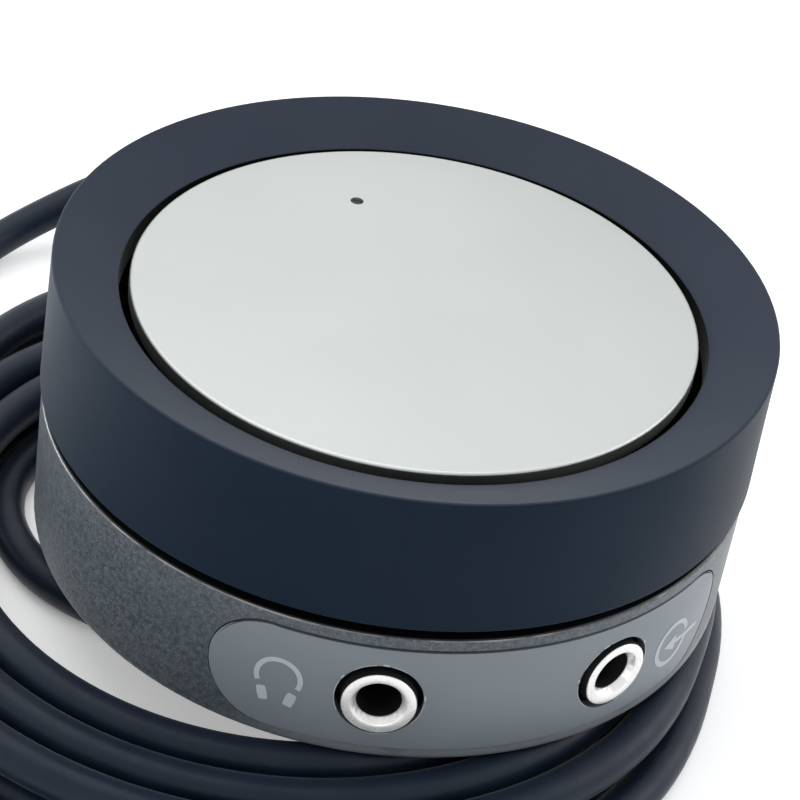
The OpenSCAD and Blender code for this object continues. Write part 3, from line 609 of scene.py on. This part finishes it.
# Turned and moulded pieces: rings of points round an axis, each ring an axial place and a radius at each angle
sharpAngle = 32                # degrees between faces where an edge stays sharp


def skinRings(name, rings, sides, matrix, joinEnds=False):
    mesh = bmesh.new()
    made = []
    for along, radius in rings:
        row = []
        for k in range(sides):
            angle = 2 * math.pi * k / sides
            r = radius(angle) if callable(radius) else radius
            row.append(mesh.verts.new((r * math.cos(angle), r * math.sin(angle), along)))
        made.append(row)
    pairs = list(zip(made, made[1:])) + ([(made[-1], made[0])] if joinEnds else [])
    for low, high in pairs:
        for k in range(sides):
            n = (k + 1) % sides
            mesh.faces.new((low[k], low[n], high[n], high[k]))
    if not joinEnds:
        mesh.faces.new(list(reversed(made[0])))
        mesh.faces.new(made[-1])
    bmesh.ops.recalc_face_normals(mesh, faces=mesh.faces)
    return finishMesh(name, mesh, matrix)


def finishMesh(name, mesh, matrix):
    data = bpy.data.meshes.new(name)
    mesh.to_mesh(data)
    mesh.free()
    data.shade_smooth()
    data.set_sharp_from_angle(angle=math.radians(sharpAngle))
    piece = bpy.data.objects.new(name, data)
    piece.matrix_world = matrix
    scene.collection.objects.link(piece)
    return piece


def settle(piece, slotName, finish=None, stands=()):
    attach(piece, "base")
    if stands:
        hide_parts(*stands)
    piece.data.materials.append(materials[finish or slotName])


def alongAxis(place, direction):
    return Matrix.Translation(place) @ direction.to_track_quat("Z", "Y").to_matrix().to_4x4()


# Jack bushings: turned nickel with a countersunk mouth and a dark sleeve in the bore, and a thin black ring round the
# nose that is painted shade in the gap round each bushing
bushing = {
    "angles": {"headphone": -19.05, "aux": 19.05},     # degrees from the panel's middle
    "faces": {"headphone": 31.85, "aux": 31.6},        # how far each face stands from the pod's axis, in millimetres
    "flangeBack": 28.7,
    "tailEnd": 24.75,
    "sides": 108,
    "mouth": [                                         # radius and depth from the face, in millimetres
        (1.86, -0.62), (1.89, -0.56), (1.98, -0.4), (2.1, -0.2), (2.18, -0.08), (2.24, -0.02), (2.32, 0),
        (2.94, 0), (3.01, -0.02), (3.04, -0.07), (3.05, -0.15),
    ],
    "tailRadius": 2.5,
    "marks": {"from": 1.95, "to": 2.15, "count": 18, "depth": 0.03},   # turning marks in the countersink
    "boreSleeve": [(1.78, -0.7), (1.8, -0.66), (1.855, -0.66)],
    # painted shade: a thin black ring over the nose's side, in the gap round the bushing
    "collar": [(3.055, -0.1), (3.1, -0.12), (3.12, -0.17)],
}


def markedRadius(radius):
    marks = bushing["marks"]
    if not marks["from"] < radius < marks["to"]:
        return radius * mm
    return lambda angle: (radius + marks["depth"] * math.cos(marks["count"] * angle) ** 3) * mm


def makeBushings():
    for name, angle in bushing["angles"].items():
        low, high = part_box(name + "_bushing")
        turn = math.radians(angle - 90)
        outward = Vector((math.cos(turn), math.sin(turn), 0))
        face = bushing["faces"][name]
        matrix = alongAxis(outward * face * mm + Vector((0, 0, (low.z + high.z) / 2)), outward)
        flange, tail = bushing["flangeBack"] - face, bushing["tailEnd"] - face
        mouth, sleeve, collar = bushing["mouth"], bushing["boreSleeve"], bushing["collar"]
        tailRadius = bushing["tailRadius"]
        back = [(mouth[-1][0], flange), (tailRadius, flange), (tailRadius, tail)]
        profiles = {
            "turned_bushing": [(mouth[0][0], tail)] + mouth + back,
            "bore_sleeve": [(sleeve[0][0], tail)] + sleeve + [(sleeve[-1][0], tail)],
            "collar": [(collar[0][0], flange)] + collar + [(collar[-1][0], flange)],
        }
        for part, profile in profiles.items():
            rings = [(depth * mm, markedRadius(radius)) for radius, depth in profile]
            piece = skinRings(name + "_" + part, rings, bushing["sides"], matrix, joinEnds=True)
            if part == "turned_bushing":
                settle(piece, "nickel", stands=[name + "_bushing"])
            else:
                settle(piece, "black_plastic")


makeBushings()
print("bushings turned")


# Slotted sleeves: the strain relief at the base and the boot on the plug
sleeves = {
    "strain_relief": {
        "body": [                                      # place along the axis and radius, in millimetres
            (27.7, 4.2), (28.65, 4.2), (28.7, 3.3), (31.34, 3.3), (31.36, 4.0), (31.5, 4.2), (32.1, 4.2), (32.3, 4.0),
            (32.4, 3.42),
        ],
        "taper": ((31.3, 3.3), (44.3, 2.3)), "slotFrom": 33.3, "slotStep": 2.5, "slots": 4, "slotWidth": 1.3,
        "slotDepth": 0.9, "tip": 44.3, "tipRound": 0.35,
    },
    "plug_boot": {
        "body": [(10, 3.6)],
        "taper": ((10, 3.6), (0, 2.2)), "slotFrom": 8.4, "slotStep": -2.0, "slots": 4, "slotWidth": -1.0,
        "slotDepth": 0.75, "tip": 0, "tipRound": 0.3,
    },
}
sleeveMould = {
    "sides": 72,
    "bridgeFrom": 0.8,         # two bridges cross each slot, a quarter turn on from the last slot's
    "bridgeSlope": 0.08,
    "slotEdge": 0.06,
    "tipShares": (0, 0.5, 0.85, 1),
}


def sleeveRings(setup):
    (wideAt, wide), (narrowAt, narrow) = setup["taper"]
    way = 1 if narrowAt > wideAt else -1

    def taper(along):
        return wide + (narrow - wide) * (along - wideAt) / (narrowAt - wideAt)

    def slotted(along, quarter):
        def radius(angle):
            across = abs(math.cos(angle + quarter * math.pi / 2))
            bridge = smoothStep((across - sleeveMould["bridgeFrom"]) / sleeveMould["bridgeSlope"])
            return (taper(along) - setup["slotDepth"] * (1 - bridge)) * mm
        return radius

    rings = [(along * mm, radius * mm) for along, radius in setup["body"]]
    edge = way * sleeveMould["slotEdge"]
    for i in range(setup["slots"]):
        start = setup["slotFrom"] + i * setup["slotStep"]
        end = start + setup["slotWidth"]
        rings += [(start * mm, taper(start) * mm), ((start + edge) * mm, slotted(start + edge, i)),
                  ((end - edge) * mm, slotted(end - edge, i)), (end * mm, taper(end) * mm)]
    tip, soft = setup["tip"], setup["tipRound"]
    for share in sleeveMould["tipShares"]:
        along = tip - way * soft * (1 - share)
        radius = taper(tip) - soft * (1 - math.sqrt(1 - share ** 2))
        rings.append((along * mm, radius * mm))
    return rings


def plugMatrix():
    heading = math.radians(cord["plugHeading"])
    return alongAxis(onTable(cord["plugEntry"]), Vector((math.cos(heading), math.sin(heading), 0)))


def makeSleeves():
    exitMatrix = alongAxis(Vector((0, 0, cordExit.z)), Vector((0, 1, 0)))
    made = {}
    for name, matrix in (("strain_relief", exitMatrix), ("plug_boot", plugMatrix())):
        made[name] = skinRings(name + "_slotted", sleeveRings(sleeves[name]), sleeveMould["sides"], matrix)
        settle(made[name], "cord_jacket", stands=[name])
    return made


sleevePieces = makeSleeves()


# Plug grip with fine flutes round its waist and a sunk index bar on top
grip = {
    "from": 10.0, "length": 18.0, "radius": 5.6, "round": 1.2, "frontRound": 0.4,
    "waist": 5.0, "waistFrom": 4.0, "waistTo": 15.0, "slope": 1.4,
    "flutes": 28, "fluteDepth": 0.22,
    "barFrom": 15.4, "barTo": 17.2, "barSlope": 0.3, "barDepth": 0.3,
    "barHalf": 0.14, "barSide": 0.04,                  # as angles round the grip
    "sides": 224, "steps": 72, "endSteps": (0.05, 0.1, 0.17),
}


def gripRings(barTurn):
    rings = []
    size = grip["length"]
    places = [size * i / grip["steps"] for i in range(grip["steps"] + 1)]
    places += [place for step in grip["endSteps"] for place in (step, size - step)]
    for along in sorted(places):
        inWaist = smoothStep((along - grip["waistFrom"]) / grip["slope"])
        inWaist *= smoothStep((grip["waistTo"] - along) / grip["slope"])
        plain = grip["radius"] - (grip["radius"] - grip["waist"]) * inWaist
        for end, soft in ((along, grip["round"]), (size - along, grip["frontRound"])):
            if end < soft:
                plain -= soft - math.sqrt(max(0.0, soft ** 2 - (soft - end) ** 2))
        onBar = smoothStep((along - grip["barFrom"]) / grip["barSlope"])
        onBar *= smoothStep((grip["barTo"] - along) / grip["barSlope"])

        def radius(angle, plain=plain, inWaist=inWaist, onBar=onBar):
            flute = grip["fluteDepth"] * inWaist * (0.5 + 0.5 * math.cos(grip["flutes"] * angle))
            fromTop = abs(math.atan2(math.sin(angle - barTurn), math.cos(angle - barTurn)))
            bar = grip["barDepth"] * onBar * smoothStep((grip["barHalf"] - fromTop) / grip["barSide"])
            return (plain + flute - bar) * mm

        rings.append(((grip["from"] + along) * mm, radius))
    return rings


def makeGrip():
    matrix = plugMatrix()
    up = matrix.to_3x3().inverted() @ Vector((0, 0, 1))
    piece = skinRings("plug_grip", gripRings(math.atan2(up.y, up.x)), grip["sides"], matrix)
    settle(piece, "black_plastic", stands=["plug_body"])
    return piece


gripPiece = makeGrip()
print("plug and sleeves moulded")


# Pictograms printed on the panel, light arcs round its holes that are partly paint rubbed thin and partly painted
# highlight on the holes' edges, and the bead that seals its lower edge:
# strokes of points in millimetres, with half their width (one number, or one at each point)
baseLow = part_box("base_shell")[0].z
pictograms = {
    "radius": 0.0313, "proud": 0.00003, "sink": 0.00005,   # the panel's face, and how far a stroke goes out and in
    "headphone_sign": {"angle": -34.2, "height": 6.46},
    "input_sign": {"angle": 33.1, "height": 5.68},
    "headphone_hole_rim": {"angle": -19.05, "height": 6.3},
    "aux_hole_rim": {"angle": 19.05, "height": 6.3},
    "panel_bead": {"angle": 0, "height": 6.55, "proud": -0.00003, "sink": 0.0003},
}
headphoneSign = {
    "bandRadius": 1.85, "bandArc": (-24, 205), "bandHalf": 0.22, "bandSteps": 44,
    "cupFoot": 1.0, "cupLean": 0.265,
    "cupHeights": (-1.34, -1.46, -2.02, -2.58, -2.7), "cupHalves": (0.28, 0.4, 0.44, 0.4, 0.28),
}
inputSign = {
    "ringRadius": 2.12, "ringArc": (11, 358), "ringHalf": 0.25, "ringSteps": 64,
    "shaft": [(4.3, -0.4), (2.3, -0.26), (0.3, -0.12)], "shaftHalf": 0.24,
    "head": [(0.5, -0.1), (-0.3, -0.1), (-1.1, -0.1)], "headHalves": (0.9, 0.46, 0.01),
}
# light arcs round the holes: partly paint rubbed thin, partly painted highlight on the holes' edges
holeRim = {
    "radius": 3.62, "steps": 12, "turns": {"headphone_hole_rim": 0, "aux_hole_rim": 25},
    "wearAndHighlightMarks": [                                         # from and to, in degrees, and half the width
        (158, 208, 0.035), (146, 152, 0.08), (84, 92, 0.08), (100, 130, 0.03), (60, 80, 0.03), (4, 12, 0.08),
        (-38, 0, 0.035), (-100, -70, 0.03),
    ],
}
panelBead = {
    "end": 19.53,                                      # middle of the panel's round ends
    "edge": 5.2, "half": 0.14,                         # the line round it
    "leftArc": (128, 270), "leftSteps": 30, "rightArc": (-90, 62), "rightSteps": 32, "lowSteps": 80,
    "fadePoints": 8, "fadeStart": 0.1,                 # it thins out over so many points at its ends
}


def arcPoints(radius, start, end, count, middle=(0, 0)):
    turns = [math.radians(start + (end - start) * i / count) for i in range(count + 1)]
    return [(middle[0] + radius * math.cos(t), middle[1] + radius * math.sin(t)) for t in turns]


def headphoneStrokes():
    sign = headphoneSign
    strokes = [(arcPoints(sign["bandRadius"], *sign["bandArc"], sign["bandSteps"]), sign["bandHalf"])]
    low = sign["cupHeights"][-1]
    for side in (-1, 1):
        cup = [(side * (sign["cupFoot"] + sign["cupLean"] * (y - low)), y) for y in sign["cupHeights"]]
        strokes.append((cup, sign["cupHalves"]))
    return strokes


def inputStrokes():
    sign = inputSign
    ring = arcPoints(sign["ringRadius"], *sign["ringArc"], sign["ringSteps"])
    return [(ring, sign["ringHalf"]), (sign["shaft"], sign["shaftHalf"]), (sign["head"], sign["headHalves"])]


def rimStrokes(turn):
    strokes = []
    for start, end, half in holeRim["wearAndHighlightMarks"]:
        strokes.append((arcPoints(holeRim["radius"] + half, start + turn, end + turn, holeRim["steps"]), half))
    return strokes


def beadStrokes():
    bead = panelBead
    end, edge, steps = bead["end"], bead["edge"], bead["lowSteps"]
    low = [(end * (2 * i / steps - 1), -edge) for i in range(1, steps)]
    left = arcPoints(edge, *bead["leftArc"], bead["leftSteps"], (-end, 0))
    line = left + low + arcPoints(edge, *bead["rightArc"], bead["rightSteps"], (end, 0))
    fromEnd = [min(i, len(line) - 1 - i) for i in range(len(line))]
    return [(line, tuple(bead["half"] * min(1, (i + bead["fadeStart"]) / bead["fadePoints"]) for i in fromEnd))]


def layStroke(mesh, points, half, place):
    halves = half if isinstance(half, tuple) else [half] * len(points)
    rows = [Vector(p) for p in points]
    made = []
    for i, (point, width) in enumerate(zip(rows, halves)):
        toward = rows[min(i + 1, len(rows) - 1)] - rows[max(i - 1, 0)]
        side = Vector((-toward.y, toward.x)).normalized() * width
        corners = [(point + side, 1), (point - side, 1), (point - side, 0), (point + side, 0)]
        made.append([mesh.verts.new(place(p, outer)) for p, outer in corners])
    for a, b in zip(made, made[1:]):
        for k in range(len(a)):
            n = (k + 1) % len(a)
            mesh.faces.new((a[k], a[n], b[n], b[k]))
    mesh.faces.new(list(reversed(made[0])))
    mesh.faces.new(made[-1])


def printSign(name, strokes, finish="printWearAndHighlight"):
    setup = pictograms[name]

    def place(point, outer):
        lift = setup.get("proud", pictograms["proud"]) if outer else -setup.get("sink", pictograms["sink"])
        radius = pictograms["radius"] + lift
        angle = math.radians(setup["angle"] - 90) + point.x * mm / pictograms["radius"]
        height = baseLow + (setup["height"] + point.y) * mm
        return (radius * math.cos(angle), radius * math.sin(angle), height)

    mesh = bmesh.new()
    for points, half in strokes:
        layStroke(mesh, points, half, place)
    bmesh.ops.recalc_face_normals(mesh, faces=mesh.faces)
    piece = finishMesh(name, mesh, Matrix.Identity(4))
    settle(piece, "panel_grey", finish=finish)


printSign("headphone_sign", headphoneStrokes())
printSign("input_sign", inputStrokes())
for rimName, rimTurn in holeRim["turns"].items():
    printSign(rimName, rimStrokes(rimTurn))
printSign("panel_bead", beadStrokes(), "panel_grey")
print("signs printed")
